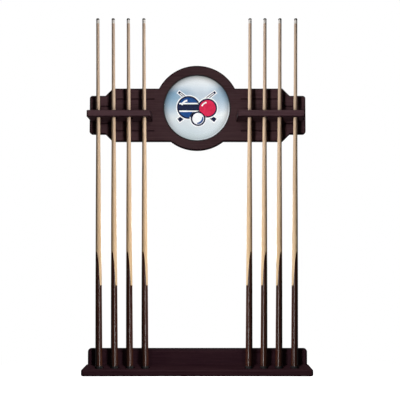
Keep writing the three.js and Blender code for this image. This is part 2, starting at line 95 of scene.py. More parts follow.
# Upper plaque.
WING_HALF_HEIGHT = 114.3
WING_END_HALF_HEIGHT = 82.7
STEP_START_X = 363
WING_CORNER_RADIUS = 12
PLAQUE_ROUND = 3
BACK_EASE = 0.6
# Painted shade round the plaque's and plates' rounded edges: fully dark this far past the round, then fading
# over the next width.
EDGE_DARK = 0.8
EDGE_FADE = 1.2
GROOVE_INSET = 45.5
GROOVE_INNER_X = 184.3
GROOVE_HALF_WIDTH = 4.2
GROOVE_FLOOR_HALF_WIDTH = 0.35
GROOVE_DEPTH = 2.4
# The next value is the painted shade laid in the grooves' floors.
GROOVE_SHADE = 1.0
POCKET_RADIUS = 144
POCKET_DEPTH = 8
POCKET_LIP = 1.0
GASKET_STEM = 2.4
GASKET_LIP = 4.0
LENS_BULGE = 1.4
BLUE_CENTRE = 20

# Rails, lower board and shelf.
RAIL_CORNER = 8
RAIL_ROUND = 2.5
RAIL_HOLE_RADIUS = 14
RAIL_HOLE_LIP = 1.6
# Painted shade on the rails and shelf: a dark line along the rounded foot, and dark ends, each full then
# fading.
FOOT_LINE = 2.5
FOOT_SHADE = 0.8
END_DARK = 3.5
END_FADE = 3
BOARD_CORNER = 14
MOULD_WIDTH = 10
MOULD_REACH = 8.5
MOULD_STEP = 1.5
SHELF_CORNER = 14
SHELF_ROUND = 6.5
RECESS_RADIUS = 19
RECESS_DEPTH = 11
RECESS_LIP = 1.2
CUE_FIRST_X = 211.5
CUE_PITCH = 62.1
RAIL_HOLE_FIRST_X = 218.5
RAIL_HOLE_PITCH = 63.2

# Cues.
CUE_LENGTH = 1457.5
CUE_TAPER = [(0, 6.6), (200, 6.9), (400, 7.85), (550, 8.85), (685, 9.95), (785, 10.85), (965, 11.9)]
CUE_TAPER += [(1087, 12.7), (CUE_LENGTH, 14.35)]  # distance from the tip, and radius
TIP_HEIGHT = 7
TIP_CROWN = 2.6
FERRULE_HEIGHT = 16
BUMPER_HEIGHT = 20
BUMPER_ROUND = 4.2
SPLICE_TOP = 488.5  # height above the foot
SPLICE_LENGTH = 143.5
TONGUE_TURN = math.radians(60)
TONGUE_TAPER = [(0, 12.3), (0.1, 11.3), (0.36, 9.2), (0.6, 7.4), (1, 5.2)]
CUE_COLUMNS = 72
BLEND_STEPS = 16

# Hardware.
SCREW_LENGTH = 52
SCREW_HEAD_RADIUS = 4.5
SCREW_SHANK_RADIUS = 2.2
SCREW_ROOM = 0.35
THREAD_ROOT = 1.55
THREAD_RIDGE = 0.62
THREAD_PITCH = 2.6
THREAD_STEPS = 90
HANGER_WIDTH = 24
HANGER_HEIGHT = 44
HANGER_THICKNESS = 2.4
HANGER_ROOM = 0.3
HANGER_BACK = -0.4
KEYHOLE_RISE = 7
FIXING_RISE = 17

# Fineness of the meshes.
RIM_STEPS = 96
CORNER_STEPS = 10
ROUND_STEPS = 5
LIP_STEPS = 4
DISC_STEPS = 160
LIP_CLEAR = 0.05
SHARP_ANGLE = math.radians(38)

# Lights and surround, in metres, watts and degrees. Mirrored pairs give their right-hand place.
UPPER_PIECES = ("upper_", "rail_", "emblem_", "lens_", "gasket_", "art_")
LOWER_PIECES = ("lower_", "butt_ledge", "shelf_")
UPPER_POWER = 3.1
LOWER_POWER = 2.55
UPPER_BANK = ((0.85, 0.9, 0.40), (0.20, 0.6, 0.14), (-0.75, 0.8, 0.64))  # each box's height, size and share
LOWER_BANK = ((1.10, 0.6, 0.55), (0.40, 0.6, 0.45))
BOX_X, BOX_Y = 0.45, -2.0
BOX_AIM_X = 0.50
BOX_WIDTH = 0.25
BOX_SPREAD = 35
LOWER_AIM_Z = -1.04
CUE_MIDDLE = (0.31, -0.084, -0.42)
STRIP_PLACE = (0.76, -0.88, -0.42)
STRIP_SIZE = (0.3, 2.0)
STRIP_POWER = 26
SHINES = (((0.20, -1.15, -0.42), 12), ((0.85, -0.55, -0.42), 2))  # each place and power
SHINE_SIZE = (0.06, 2.0)
REAR_PLACE = (1.9, 1.1, -0.2)
REAR_AIM = (0.3, 0, -0.5)
REAR_SIZE = (0.8, 1.8)
REAR_POWER = 14
BACK_POWER = 40
WORLD_DIFFUSE = 0.05
WORLD_GLOSSY = 0.06
FLOOR_RADIUS = 3000
FLOOR_TOP = -1600
FLOOR_THICKNESS = 40


# ---------------- camera


def make_camera():
    """The photograph's place: level with the lower third of the cues, a little over two metres away."""
    data = bpy.data.cameras.new("camera")
    data.lens = 48.2
    data.sensor_width = 36
    data.shift_x = -0.0115
    data.shift_y = 0.059
    camera = bpy.data.objects.new("camera", data)
    camera.location = (0.030, -2.287, -0.5647)
    camera.rotation_euler = (math.radians(92.5), 0, 0)
    bpy.context.scene.collection.objects.link(camera)
    bpy.context.scene.camera = camera


make_camera()


# ---------------- materials


def srgb(red, green, blue):
    """A display colour from 0 to 255 as the linear colour that shaders take."""

    def linear(value):
        share = value / 255
        return share / 12.92 if share <= 0.04045 else ((share + 0.055) / 1.055) ** 2.4

    return (linear(red), linear(green), linear(blue), 1.0)


def grey(tone):
    return (tone, tone, tone, 1)


class Shader:
    """A material's node tree, with short calls for the nodes used here."""

    def __init__(self, name, roughness=0.5, metallic=0.0, specular=0.5, coat=0.0, coat_roughness=0.1):
        self.material = bpy.data.materials.new(name)
        self.material.use_nodes = True
        self.tree = self.material.node_tree
        self.surface = self.tree.nodes["Principled BSDF"]
        self.set("Roughness", roughness)
        self.set("Metallic", metallic)
        self.set("Specular IOR Level", specular)
        self.set("Coat Weight", coat)
        self.set("Coat Roughness", coat_roughness)

    def set(self, socket, value):
        self.surface.inputs[socket].default_value = value

    def feed(self, socket, output):
        self.tree.links.new(output, self.surface.inputs[socket])

    def node(self, kind, inputs=None, **settings):
        """A node with its inputs linked, where they are sockets, or set."""
        made = self.tree.nodes.new(kind)
        for name, value in settings.items():
            setattr(made, name, value)
        for key, value in (inputs or {}).items():
            if isinstance(value, bpy.types.NodeSocket):
                self.tree.links.new(value, made.inputs[key])
            else:
                made.inputs[key].default_value = value
        return made

    def place(self, scale=(1, 1, 1), offset=(0, 0, 0)):
        """Object coordinates, moved and scaled."""
        coordinates = self.node("ShaderNodeTexCoord").outputs["Object"]
        moved = self.node("ShaderNodeMapping", {"Vector": coordinates, "Location": offset, "Scale": scale})
        return moved.outputs["Vector"]

    def noise(self, vector, detail=4.0, roughness=0.55, distortion=0.0):
        inputs = {"Vector": vector, "Scale": 1.0, "Detail": detail, "Roughness": roughness}
        inputs["Distortion"] = distortion
        return self.node("ShaderNodeTexNoise", inputs).outputs["Fac"]

    def ramp(self, factor, stops):
        """Colours blended between (position, colour) stops."""
        made = self.node("ShaderNodeValToRGB", {"Fac": factor})
        elements = made.color_ramp.elements
        while len(elements) < len(stops):
            elements.new(0.5)
        for element, (position, colour) in zip(elements, stops):
            element.position = position
            element.color = colour
        return made.outputs["Color"]

    def remap(self, value, low, high, to_low, to_high):
        inputs = {"Value": value, "From Min": low, "From Max": high, "To Min": to_low, "To Max": to_high}
        return self.node("ShaderNodeMapRange", inputs).outputs["Result"]

    def math(self, operation, first, second=0.0):
        return self.node("ShaderNodeMath", {0: first, 1: second}, operation=operation).outputs[0]

    def mix(self, factor, first, second, blend="MIX"):
        inputs = {0: factor, 6: first, 7: second}
        return self.node("ShaderNodeMix", inputs, data_type="RGBA", blend_type=blend).outputs[2]

    def bump(self, height, strength, distance):
        made = self.node("ShaderNodeBump", {"Height": height, "Strength": strength, "Distance": distance})
        self.feed("Normal", made.outputs["Normal"])

    def finish(self, tone, drift, rough_range, relief, strength, distance):
        """The finished material: its colour, its roughness along one noise and its relief from another."""
        self.feed("Base Color", tone)
        self.feed("Roughness", self.remap(drift, 0.3, 0.7, *rough_range))
        self.bump(relief, strength, distance)
        return self.material


def espresso_wood(name, face, warm, shade, offset):
    """Espresso-stained hardwood with its grain along X, and painted shade as a near-black outline where the
    edge attribute is high.
    """
    wood = Shader(name, specular=0.03)
    streaks = wood.noise(wood.place((5, 160, 160), offset), detail=5, roughness=0.6, distortion=0.4)
    clouds = wood.noise(wood.place((7, 14, 14), offset), detail=2, roughness=0.5)
    pores = wood.noise(wood.place((60, 1500, 1500), offset), detail=2, roughness=0.7)
    tone = wood.ramp(streaks, [(0.30, shade), (0.52, face), (0.74, warm)])
    mottled = wood.mix(wood.remap(clouds, 0.35, 0.65, 0.0, 0.45), tone, warm)
    pored = wood.mix(wood.remap(pores, 0.32, 0.44, 0.45, 0.0), mottled, shade)
    edge = wood.node("ShaderNodeAttribute", attribute_name="edge").outputs["Fac"]
    # Painted shade: the edge attribute blends the wood towards near-black, a dark outline on rounded edges
    # and groove floors.
    wood.feed("Base Color", wood.mix(wood.remap(edge, 0.0, 1.0, 0.0, 0.95), pored, srgb(14, 1, 4)))
    gloss = wood.remap(streaks, 0.3, 0.7, 0.52, 0.42)
    wood.feed("Roughness", wood.math("MAXIMUM", gloss, wood.math("MULTIPLY", edge, 0.9)))
    relief = wood.math("ADD", wood.math("MULTIPLY", streaks, 0.6), wood.math("MULTIPLY", pores, 0.4))
    wood.bump(relief, 0.25, 0.0004)
    return wood.material


def maple(name, offset):
    """Clear-lacquered maple with its grain along the cue, a little greyer towards the tip."""
    wood = Shader(name, specular=0.25, coat=0.08, coat_roughness=0.25)
    grain = wood.noise(wood.place((140, 140, 2.2), offset), detail=4, roughness=0.6, distortion=0.5)
    fleck = wood.noise(wood.place((900, 900, 45), offset), detail=2, roughness=0.6)
    clouds = wood.noise(wood.place((9, 9, 3), offset), detail=1)
    tones = [(0.30, srgb(196, 160, 118)), (0.5, srgb(214, 181, 141)), (0.72, srgb(228, 199, 162))]
    tone = wood.ramp(grain, tones)
    flecked = wood.mix(wood.remap(fleck, 0.30, 0.42, 0.18, 0.0), tone, srgb(164, 126, 88))
    toned = wood.mix(wood.remap(clouds, 0.4, 0.6, 0.0, 0.25), flecked, srgb(218, 186, 146))
    height = wood.node("ShaderNodeSeparateXYZ", {"Vector": wood.place()}).outputs["Z"]
    pale = wood.remap(height, SPLICE_TOP * MM, CUE_LENGTH * MM, 0.0, 0.75)
    return wood.finish(wood.mix(pale, toned, srgb(206, 184, 168)), grain, (0.38, 0.28), fleck, 0.12, 0.0002)


def dark_butt(name, offset):
    """Dark-stained wood under a thick gloss lacquer, its grain just showing."""
    wood = Shader(name, specular=0.0, coat=1.0, coat_roughness=0.08)
    grain = wood.noise(wood.place((170, 170, 3), offset), detail=4, roughness=0.6, distortion=0.6)
    tone = wood.ramp(grain, [(0.32, srgb(44, 18, 11)), (0.55, srgb(61, 31, 21)), (0.75, srgb(76, 44, 32))])
    return wood.finish(tone, grain, (0.42, 0.3), grain, 0.08, 0.0003)


def ferrule_fibre():
    """Ivory-white fibre, polished, with fine turning marks."""
    fibre = Shader("ferrule_fibre", specular=0.5, coat=0.3)
    marks = fibre.noise(fibre.place((20, 20, 2500)), detail=2)
    cloudy = fibre.noise(fibre.place((160, 160, 160)), detail=3)
    tone = fibre.ramp(cloudy, [(0.3, srgb(222, 215, 207)), (0.7, srgb(234, 228, 221))])
    return fibre.finish(tone, marks, (0.38, 0.26), marks, 0.1, 0.0001)


def tip_leather():
    """Pressed leather, layered at the side and dusted with blue chalk."""
    leather = Shader("tip_leather", specular=0.2)
    layers = leather.noise(leather.place((60, 60, 3200)), detail=2)
    chalk = leather.noise(leather.place((700, 700, 700)), detail=4, roughness=0.7)
    hide = leather.ramp(layers, [(0.35, srgb(20, 17, 15)), (0.65, srgb(36, 31, 28))])
    dusted = leather.mix(leather.remap(chalk, 0.5, 0.62, 0.0, 0.2), hide, srgb(58, 74, 92))
    return leather.finish(dusted, chalk, (0.8, 0.95), chalk, 0.5, 0.0003)


def zinc_steel():
    """Zinc-plated steel with a crystalline mottle and fine scratches."""
    steel = Shader("zinc_plate", metallic=1.0)
    spangle = steel.node("ShaderNodeTexVoronoi", {"Vector": steel.place((420, 420, 420))}).outputs["Distance"]
    scratches = steel.noise(steel.place((90, 90, 2400)), detail=3)
    tone = steel.ramp(spangle, [(0.1, srgb(176, 180, 186)), (0.8, srgb(206, 209, 212))])
    return steel.finish(tone, scratches, (0.28, 0.46), scratches, 0.12, 0.0001)


def even_material(name, specular, scale, detail, roughness, tones, rough_range, relief):
    """A material with one fine noise behind its tone, its roughness and its relief."""
    made = Shader(name, specular=specular)
    drift = made.noise(made.place((scale, scale, scale)), detail, roughness)
    return made.finish(made.ramp(drift, tones), drift, rough_range, drift, *relief)


def bumper_rubber():
    """Matt black rubber, scuffed grey in places."""
    tones = [(0.45, srgb(24, 22, 23)), (0.8, srgb(62, 58, 58))]
    return even_material("bumper_rubber", 0.3, 260, 5, 0.65, tones, (0.68, 0.88), (0.35, 0.0003))


def gasket_rubber():
    """The black ring round the emblem, smooth with a slight dusting."""
    tones = [(0.4, srgb(14, 10, 12)), (0.8, srgb(34, 28, 31))]
    return even_material("gasket_rubber", 0.3, 180, 4, 0.55, tones, (0.5, 0.65), (0.2, 0.0002))


def printed_ink(name, colour, deep):
    """Printed ink with a slight unevenness."""
    tones = [(0.3, deep), (0.65, colour)]
    return even_material(name, 0.06, 60, 4, 0.55, tones, (0.34, 0.44), (0.05, 0.0001))


def clear_acrylic():
    """The lens: almost clear, with a faint haze and a polished surface."""
    acrylic = Shader("clear_acrylic", specular=0.5)
    haze = acrylic.noise(acrylic.place((30, 30, 30)), detail=3)
    acrylic.feed("Base Color", acrylic.ramp(haze, [(0.3, srgb(70, 78, 84)), (0.7, srgb(90, 96, 100))]))
    acrylic.feed("Roughness", acrylic.remap(haze, 0.3, 0.7, 0.05, 0.12))
    acrylic.set("Alpha", 0.05)
    return acrylic.material


def silver_ground(silver, across, up, radius):
    """The emblem's print: pale at the top and foot, with a bluer band that is strongest at the sides, and
    painted shade on its left side.
    """
    drift = silver.noise(silver.place((7, 7, 7), (3, 0, 1)), detail=2)
    wave = silver.math("MULTIPLY", silver.math("SUBTRACT", drift, 0.5), 0.16)
    height = silver.math("ADD", silver.remap(up, -radius, radius, 0.0, 1.0), wave)
    tones = [(0.05, srgb(202, 215, 218)), (0.17, srgb(217, 228, 233)), (0.26, srgb(224, 232, 236))]
    tones += [(0.40, srgb(244, 249, 250)), (0.50, srgb(226, 235, 242)), (0.62, srgb(207, 221, 230))]
    tones += [(0.74, srgb(213, 222, 231)), (0.84, srgb(236, 244, 250)), (0.95, srgb(250, 254, 255))]
    tilted = silver.math("SUBTRACT", height, silver.remap(across, -radius, radius, -0.05, 0.05))
    blueness = [(0.38, 0), (0.54, 0.55), (0.66, 1), (0.76, 1), (0.88, 0)]
    band = silver.ramp(tilted, [(at, grey(tone)) for at, tone in blueness])
    off_centre = silver.math("ABSOLUTE", silver.math("SUBTRACT", across, BLUE_CENTRE * MM))
    side = silver.remap(off_centre, 0.15 * radius, 0.85 * radius, 0.15, 1.0)
    ground = silver.ramp(height, tones)
    blued = silver.mix(silver.math("MULTIPLY", band, side), ground, srgb(134, 172, 200))
    # Painted shade: the left side is blended towards a greyer blue.
    left = silver.remap(across, -radius, 0.3 * radius, 0.22, 0.0)
    return silver.mix(left, blued, srgb(150, 172, 186))


def emblem_silver():
    """The silver disc: its printed ground under painted shade round the rim, with a painted highlight as a
    bright line at the lower right rim.
    """
    silver = Shader("emblem_silver", specular=0.06)
    centred = silver.place((1, 1, 1), (-DISC_X * MM, 0, -DISC_Z * MM))
    split = silver.node("ShaderNodeSeparateXYZ", {"Vector": centred})
    across, up = split.outputs["X"], split.outputs["Z"]
    radius = DISC_RADIUS * MM
    ground = silver_ground(silver, across, up, radius)
    in_plane = silver.node("ShaderNodeVectorMath", {0: centred, 1: (1, 0, 1)}, operation="MULTIPLY")
    reach = silver.node("ShaderNodeVectorMath", {0: in_plane.outputs[0]}, operation="LENGTH").outputs["Value"]
    share = silver.math("DIVIDE", reach, radius)
    # Painted shade: the disc darkens towards its rim, full at the top and sides and weaker towards the
    # bottom.
    shading = [(0.79, 1.0), (0.85, 0.90), (0.90, 0.73), (0.94, 0.56), (0.97, 0.46), (0.99, 0.32)]
    painted_rim_shade = silver.ramp(share, [(at, grey(tone)) for at, tone in shading])
    depth = silver.remap(up, -0.9 * radius, -0.2 * radius, 0.3, 1.0)
    shaded = silver.mix(depth, ground, painted_rim_shade, "MULTIPLY")
    # Painted highlight: a thin bright line just inside the rim at the lower right.
    corner_way = silver.math("SUBTRACT", across, up)
    facing = silver.remap(corner_way, 0.75 * radius, 1.15 * radius, 0.0, 0.9)
    painted_rim_highlight = silver.math("MULTIPLY", silver.remap(share, 0.955, 0.965, 0.0, 1.0), facing)
    highlighted = silver.mix(painted_rim_highlight, shaded, srgb(226, 232, 238))
    fine = silver.noise(silver.place((1400, 1400, 1400)), detail=2)
    return silver.finish(highlighted, fine, (0.34, 0.44), fine, 0.05, 0.0001)


# Display colours of the stained wood: the middle tone, the warm brown of the lighter grain, the dark of the
# pores.
# Each part has its own copy; the lower board's and shelf's are darker, painted shade that adds to the lower
# unit's dimmer lamps.
UPPER_TONES = (srgb(52, 35, 38), srgb(59, 41, 43), srgb(40, 21, 24))
RAIL_TONES = (srgb(55, 38, 42), srgb(63, 45, 48), srgb(42, 23, 28))
LOWER_TONES = (srgb(46, 26, 33), srgb(54, 33, 38), srgb(33, 14, 20))
SHELF_TONES = (srgb(46, 26, 32), srgb(54, 33, 37), srgb(34, 15, 20))

upper_wood = espresso_wood("espresso_upper", *UPPER_TONES, (0, 0, 0))
rail_wood = espresso_wood("espresso_rail", *RAIL_TONES, (1.3, 0, 2))
lower_wood = espresso_wood("espresso_lower", *LOWER_TONES, (2.1, 1, 0))
shelf_wood = espresso_wood("espresso_shelf", *SHELF_TONES, (0.7, 3, 1))
ferrule_material = ferrule_fibre()
tip_material = tip_leather()
bumper_material = bumper_rubber()
gasket_material = gasket_rubber()
zinc_material = zinc_steel()
silver_material = emblem_silver()
acrylic_material = clear_acrylic()
navy_ink = printed_ink("ink_navy", srgb(12, 24, 66), srgb(4, 12, 46))
blue_ink = printed_ink("ink_blue", srgb(22, 78, 146), srgb(12, 62, 126))
red_ink = printed_ink("ink_red", srgb(226, 32, 82), srgb(204, 22, 66))
white_ink = printed_ink("ink_white", srgb(254, 254, 254), srgb(246, 250, 252))


# ---------------- meshes


def quarter_turn(steps):
    """Angles from nothing to a right angle, both included."""
    return [math.pi / 2 * step / steps for step in range(steps + 1)]


def arc(centre_x, centre_z, radius, start, end, steps):
    """Points (x, z) along an arc, both ends included."""
    angles = [start + (end - start) * step / steps for step in range(steps + 1)]
    return [(centre_x + radius * math.cos(a), centre_z + radius * math.sin(a)) for a in angles]


def corner(centre_x, centre_z, radius, number):
    """A rounded corner. Corners are numbered 0 to 3, anticlockwise from the top right."""
    return arc(centre_x, centre_z, radius, number * math.pi / 2, (number + 1) * math.pi / 2, CORNER_STEPS)


def circle(centre_x, centre_z, radius, steps):
    return arc(centre_x, centre_z, radius, 0, 2 * math.pi, steps)[:-1]


def rectangle(x, z, half_width, half_height):
    low_x, high_x, low_z, high_z = x - half_width, x + half_width, z - half_height, z + half_height
    return [(low_x, low_z), (high_x, low_z), (high_x, high_z), (low_x, high_z)]


def rounded_rectangle(x, z, half_width, half_height, radius):
    centres = rectangle(x, z, half_width - radius, half_height - radius)
    outline = []
    for number, place in enumerate((2, 3, 0, 1)):
        outline += corner(*centres[place], radius, number)
    return outline


def frontal(outline, y):
    """An (x, z) outline placed at a depth."""
    return [(x, y, z) for x, z in outline]


def flat(outline, z):
    """An (x, y) outline placed at a height."""
    return [(x, y, z) for x, y in outline]


def side_faces(levels, count):
    """Quads between neighbours among rings of equally many points."""
    faces = []
    for base in range(0, (levels - 1) * count, count):
        for index in range(count):
            after = (index + 1) % count
            faces.append((base + index, base + after, base + count + after, base + count + index))
    return faces


def fan(base, count, point):
    """Triangles between a ring and a single point."""
    return [(base + index, base + (index + 1) % count, point) for index in range(count)]


def loft(rings):
    """Vertices and faces of a solid through rings of equally many points, closed at both ends."""
    count = len(rings[0])
    last = (len(rings) - 1) * count
    caps = [tuple(range(count)), tuple(range(last, last + count))]
    return [point for ring in rings for point in ring], side_faces(len(rings), count) + caps


def lathe(profile, steps, axis="Z", centre=(0, 0, 0)):
    """Vertices and faces of a solid of revolution from (radius, distance) points, the first and last on the
    axis."""

    def place(x, y, along):
        point = (x, y, along) if axis == "Z" else (x, along, y)
        return tuple(a + b for a, b in zip(point, centre))

    rings = [[place(x, y, along) for x, y in circle(0, 0, radius, steps)] for radius, along in profile[1:-1]]
    vertices = [point for ring in rings for point in ring]
    faces = side_faces(len(rings), steps)
    for base, (_, along) in ((0, profile[0]), (len(vertices) - steps, profile[-1])):
        faces += fan(base, steps, len(vertices))
        vertices.append(place(0, 0, along))
    return vertices, faces


def mesh_of(name, vertices, faces, painted_shade_values=None):
    """A mesh in metres from millimetre points, facing out, with an optional painted-shade value for each
    vertex.
    """
    mesh = bpy.data.meshes.new(name)
    mesh.from_pydata([Vector(v) * MM for v in vertices], [], faces)
    if painted_shade_values is not None:
        attribute = mesh.attributes.new("edge", "FLOAT", "POINT")
        attribute.data.foreach_set("value", painted_shade_values)
    work = bmesh.new()
    work.from_mesh(mesh)
    bmesh.ops.recalc_face_normals(work, faces=work.faces)
    work.to_mesh(mesh)
    work.free()
    return mesh


def prism(name, outline, start_y, end_y):
    return mesh_of(name, *loft([frontal(outline, start_y), frontal(outline, end_y)]))


def cut(mesh, cutters):
    """The mesh with each cutter mesh taken away."""
    scene = bpy.context.scene.collection
    target = bpy.data.objects.new("cutting", mesh)
    scene.objects.link(target)
    helpers = []
    for cutter in cutters:
        helper = bpy.data.objects.new("cutter", cutter)
        scene.objects.link(helper)
        helpers.append(helper)
        modifier = target.modifiers.new("cut", "BOOLEAN")
        modifier.operation = "DIFFERENCE"
        modifier.solver = "EXACT"
        modifier.object = helper
    bpy.context.view_layer.update()
    graph = bpy.context.evaluated_depsgraph_get()
    result = bpy.data.meshes.new_from_object(target.evaluated_get(graph))
    for made in (target, *helpers):
        bpy.data.objects.remove(made)
    return result


def add_piece(name, mesh, material, replaces=(), body="rack", matrix=None):
    """A finished piece: smooth shaded with crisp edges, riding on its body."""
    mesh.materials.clear()
    mesh.materials.append(material)
    mesh.shade_smooth()
    mesh.set_sharp_from_angle(angle=SHARP_ANGLE)
    piece = bpy.data.objects.new(name, mesh)
    bpy.context.scene.collection.objects.link(piece)
    if matrix is not None:
        piece.matrix_world = matrix
    weighted = piece.modifiers.new("weighted", "WEIGHTED_NORMAL")
    weighted.keep_sharp = True
    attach(piece, body)
    if replaces:
        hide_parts(*replaces)
    return piece


def round_over(radius, steps):
    """(inset, depth) pairs down a rounded edge, from the side of a plate to its face."""
    return [(radius * (1 - math.cos(a)), radius * (1 - math.sin(a))) for a in quarter_turn(steps)]


def rounded_lip(radius, lip, surface, outward):
    """A hole's rounded edge as (radius, distance) points, from its wall to a hair outside the surface."""
    over = round_over(lip, LIP_STEPS)
    return [(radius + inset, surface - outward * (depth - LIP_CLEAR)) for inset, depth in over]


# ---------------- hardware


def node_centre(node):
    low, high = box_mm(node)
    return (low.x + high.x) / 2, (low.z + high.z) / 2


SCREWS = {kind: [node_centre(f"{kind}_screw_{n}") for n in (1, 2, 3, 4)] for kind in ("rail", "shelf")}
HANGERS = {unit: [node_centre(f"{unit}_hanger_{n}") for n in (1, 2)] for unit in ("upper", "lower")}


def screw_hole(x, z):
    """A countersunk clearance hole along Y, open at the back of a board."""
    head, shank = SCREW_HEAD_RADIUS + SCREW_ROOM, SCREW_SHANK_RADIUS + SCREW_ROOM
    profile = [(0, 6), (head, 6), (head, -1.8), (shank, -4.6)]
    profile += [(shank, 2 - SCREW_LENGTH), (0, -SCREW_LENGTH - 2)]
    return mesh_of("screw_hole", *lathe(profile, 24, "Y", (x, 0, z)))


def screw_mesh(x, z):
    """A wood screw seen from behind: countersunk head, smooth neck, helical thread and gimlet point."""
    rows = [(SCREW_HEAD_RADIUS - 0.25, -1.0, 0), (SCREW_HEAD_RADIUS, -1.25, 0), (SCREW_HEAD_RADIUS, -1.7, 0)]
    rows += [(SCREW_SHANK_RADIUS, -4.4, 0), (SCREW_SHANK_RADIUS, -16.0, 0)]
    start, end = -16.5, 4 - SCREW_LENGTH
    for step in range(THREAD_STEPS + 1):
        along = start + (end - start) * step / THREAD_STEPS
        rows.append((THREAD_ROOT, along, THREAD_RIDGE * min(1.0, step / 8)))
    rows.append((0.9, 1 - SCREW_LENGTH, 0))
    columns = 20
    vertices = []
    for radius, along, thread in rows:
        for column in range(columns):
            angle = 2 * math.pi * column / columns
            phase = (along / THREAD_PITCH + column / columns) % 1.0
            reach = radius + thread * max(0.0, 1 - abs(phase - 0.5) * 4)
            vertices.append((x + reach * math.cos(angle), along, z + reach * math.sin(angle)))
    faces = [*side_faces(len(rows), columns), tuple(range(columns))]
    faces += fan(len(vertices) - columns, columns, len(vertices))
    vertices.append((x, -SCREW_LENGTH - 0.8, z))
    cross = []
    for wide, tall in ((2.6, 0.55), (0.55, 2.6)):
        mouth = frontal(rectangle(x, z, wide, tall), 0.0)
        floor = frontal(rectangle(x, z, wide * 0.45, tall * 0.45), -2.9)
        cross.append(mesh_of("recess", *loft([mouth, floor])))
    return cut(mesh_of("screw", vertices, faces), cross)


def hanger_pocket(x, z):
    """The routed room for a keyhole plate and for the wall screw's head behind its slot."""
    half_width, half_height = HANGER_WIDTH / 2 + HANGER_ROOM, HANGER_HEIGHT / 2 + HANGER_ROOM
    plate_room = prism("plate_room", rounded_rectangle(x, z, half_width, half_height, 3.3), 6, -3.1)
    head_room = prism("head_room", rounded_rectangle(x, z, 5.2, 12.2, 5.1), 6, -10)
    return [plate_room, head_room]


def back_cutters(screws, hangers):
    """What is taken from a board's back: its screws' holes and its keyhole plates' rooms."""
    cutters = [screw_hole(x, z) for x, z in screws]
    for x, z in hangers:
        cutters += hanger_pocket(x, z)
    return cutters


def hanger_mesh(x, z):
    """A keyhole plate with eased edges, its keyhole and two countersunk holes."""
    back, front, ease = HANGER_BACK, HANGER_BACK - HANGER_THICKNESS, 0.4
    half_width, half_height, deep = HANGER_WIDTH / 2, HANGER_HEIGHT / 2, -6
    edge = rounded_rectangle(x, z, half_width, half_height, 3)
    rings = [
        frontal(rounded_rectangle(x, z, half_width - ease, half_height - ease, 2.6), back),
        frontal(edge, back - ease),
        frontal(edge, front),
    ]
    mouth = [(0, 3), (5.8, 3), (5.2, back - 0.5), (5.2, deep), (0, deep)]
    slot_low, slot_top = z - KEYHOLE_RISE, z + KEYHOLE_RISE
    slot = [(x + 2.6, slot_low), *arc(x, slot_top, 2.6, 0, math.pi, 12), (x - 2.6, slot_low)]
    hole = [(0, 3), (3.4, 3), (3.4, back + 0.05), (1.8, -1.9), (1.8, deep), (0, deep)]
    cutters = [mesh_of("mouth", *lathe(mouth, 40, "Y", (x, 0, slot_low))), prism("slot", slot, 3, deep)]
    cutters += [mesh_of("fixing", *lathe(hole, 24, "Y", (x, 0, z + sign * FIXING_RISE))) for sign in (-1, 1)]
    return cut(mesh_of("hanger", *loft(rings)), cutters)


def small_screw_mesh(x, z):
    """The head of a small countersunk screw that holds a keyhole plate."""
    profile = [(0, -0.55), (2.7, -0.55), (3.2, -0.75), (1.7, -1.95), (1.5, -3.0), (0, -3.0)]
    body = mesh_of("small_screw", *lathe(profile, 24, "Y", (x, 0, z)))
    return cut(body, [prism("slot", rectangle(x, z, 1.9, 0.32), 0.0, -1.15)])


def add_hardware():
    """The screws and keyhole plates in the boards' backs."""
    for kind, places in SCREWS.items():
        for number, (x, z) in enumerate(places, 1):
            name = f"{kind}_screw_{number}"
            add_piece(f"{name}_threaded", screw_mesh(x, z), zinc_material, [name])
    for unit, places in HANGERS.items():
        for number, (x, z) in enumerate(places, 1):
            name = f"{unit}_hanger_{number}"
            add_piece(f"{name}_plate", hanger_mesh(x, z), zinc_material, [name])
            for end, sign in (("low", -1), ("high", 1)):
                mesh = small_screw_mesh(x, z + sign * FIXING_RISE)
                add_piece(f"{name}_fixing_{end}", mesh, zinc_material)


# ---------------- upper unit


def wing_sizes(inset):
    """Half heights at a wing's root and end, and where its step starts and stops, inside the outline."""
    half, end_half = WING_HALF_HEIGHT - inset, WING_END_HALF_HEIGHT - inset
    step_inner = STEP_START_X - inset * (SQRT2 - 1)
    return half, end_half, step_inner, step_inner + half - end_half


def plaque_outline(inset):
    """The plaque's outline, a distance inside its edge."""
    radius = MEDALLION_RADIUS - inset
    half, end_half, step_inner, step_outer = wing_sizes(inset)
    round_radius = WING_CORNER_RADIUS - inset
    corner_x = WING_HALF_WIDTH - WING_CORNER_RADIUS
    corner_z = WING_END_HALF_HEIGHT - WING_CORNER_RADIUS
    top = math.asin((half - DISC_Z) / radius)
    bottom = math.asin((-half - DISC_Z) / radius)
    return [
        *arc(DISC_X, DISC_Z, radius, top, math.pi - top, RIM_STEPS),
        (-step_inner, half),
        (-step_outer, end_half),
        *corner(-corner_x, corner_z, round_radius, 1),
        *corner(-corner_x, -corner_z, round_radius, 2),
        (-step_outer, -end_half),
        (-step_inner, -half),
        *arc(DISC_X, DISC_Z, radius, math.pi - bottom, 2 * math.pi + bottom, RIM_STEPS),
        (step_inner, -half),
        (step_outer, -end_half),
        *corner(corner_x, -corner_z, round_radius, 3),
        *corner(corner_x, corner_z, round_radius, 0),
        (step_outer, end_half),
        (step_inner, half),
    ]


def wing_line(sign, inset):
    """The C-shaped line a distance inside a wing's outline, from its upper inner end to its lower one."""
    half, end_half, step_inner, step_outer = wing_sizes(inset)
    end = WING_HALF_WIDTH - inset
    upper = [(GROOVE_INNER_X, half), (step_inner, half), (step_outer, end_half), (end, end_half)]
    lower = [(x, -z) for x, z in reversed(upper)]
    return [(sign * x, z) for x, z in (*upper, *lower)]


